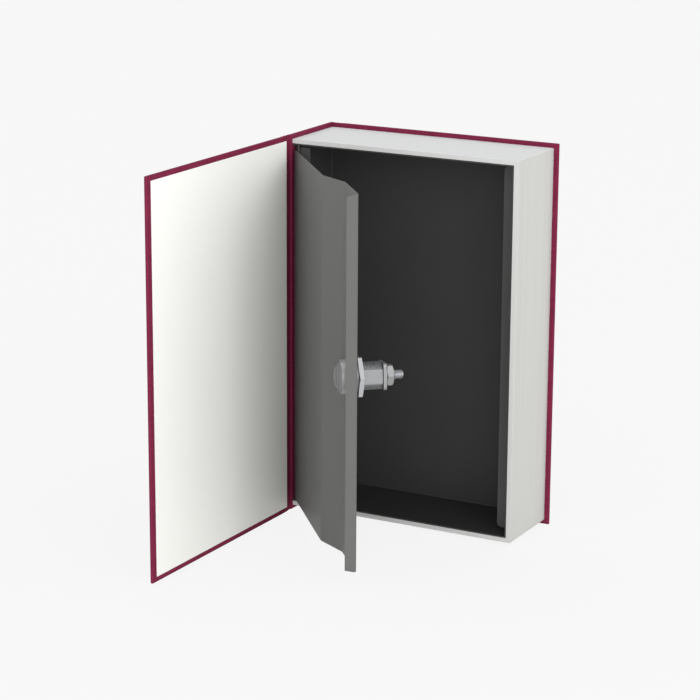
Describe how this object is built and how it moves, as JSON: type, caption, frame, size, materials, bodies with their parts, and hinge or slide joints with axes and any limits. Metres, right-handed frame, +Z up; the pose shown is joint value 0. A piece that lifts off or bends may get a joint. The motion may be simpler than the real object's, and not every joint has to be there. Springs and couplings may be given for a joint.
{
  "type": "book diversion safe",
  "caption": "Strongbox disguised as a bound book: a cloth-covered case hides a steel tray in a false page block, with a hinged steel door shut by a cam lock.",
  "frame": {"origin": "middle of the tail edge of the back cover, on the surface the book stands on", "axes": "+Z up along the spine, +X from the spine to the fore-edge, +Y from the front cover to the back cover"},
  "size_m": [0.1592, 0.2115, 0.24],
  "materials": {
    "book_cloth": "woven book cloth, matt, crimson",
    "grey_board": "grey pressed board",
    "endpaper": "smooth white paper",
    "page_edges": "white with fine page lines",
    "foam": "closed-cell foam tape",
    "box_paint": "dark powder coat",
    "angle_paint": "dark grey powder coat",
    "door_paint": "satin grey paint",
    "bright_steel": "turned steel",
    "nickel": "nickel plated",
    "wafer_brass": "stamped brass"
  },
  "bodies": {
    "root": {"back_board": "grey_board", "spine_board": "grey_board", "case_cloth": "book_cloth", "back_endpaper": "endpaper", "hinge_cloth": "book_cloth", "page_block": "page_edges", "mounting_pad": "foam", "safe_box": "box_paint", "hinge_stile": "angle_paint", "strike_lip": "angle_paint", "upper_bush": "bright_steel", "lower_bush": "bright_steel"},
    "front_cover": {"front_board": "grey_board", "front_cloth": "book_cloth", "front_endpaper": "endpaper"},
    "door": {"door_panel": "door_paint", "upper_pivot_pin": "bright_steel", "lower_pivot_pin": "bright_steel", "lock_housing": "nickel", "lock_spacer": "nickel", "lock_nut": "nickel"},
    "lock_core": {"lock_plug": "nickel", "wafer_1": "wafer_brass", "wafer_spring_1": "bright_steel", "wafer_2": "wafer_brass", "wafer_spring_2": "bright_steel", "wafer_3": "wafer_brass", "wafer_spring_3": "bright_steel", "wafer_4": "wafer_brass", "wafer_spring_4": "bright_steel", "wafer_5": "wafer_brass", "wafer_spring_5": "bright_steel", "cam": "nickel", "cam_washer": "nickel", "cam_nut": "nickel"}
  },
  "joints": [
    {"name": "door_swing", "type": "hinge", "parent": "root", "child": "door", "pos_m": [-0.07325, -0.0492, 0.12], "axis": [0, 0, 1], "range_deg": [-48.4, 49.5]},
    {"name": "cover_swing", "type": "hinge", "parent": "root", "child": "front_cover", "pos_m": [-0.07825, -0.054, 0.12], "axis": [0, 0, 1], "range_deg": [-89, 91], "deforming": ["hinge_cloth"]},
    {"name": "lock_turn", "type": "hinge", "parent": "door", "child": "lock_core", "pos_m": [0.00462, -0.14037, 0.119], "axis": [0.7604, 0.6494, 0], "range_deg": [0, 180]}
  ],
  "couplings": [
    {"joint": "cover_swing", "follows": "door_swing", "ratio": 1.838}
  ]
}
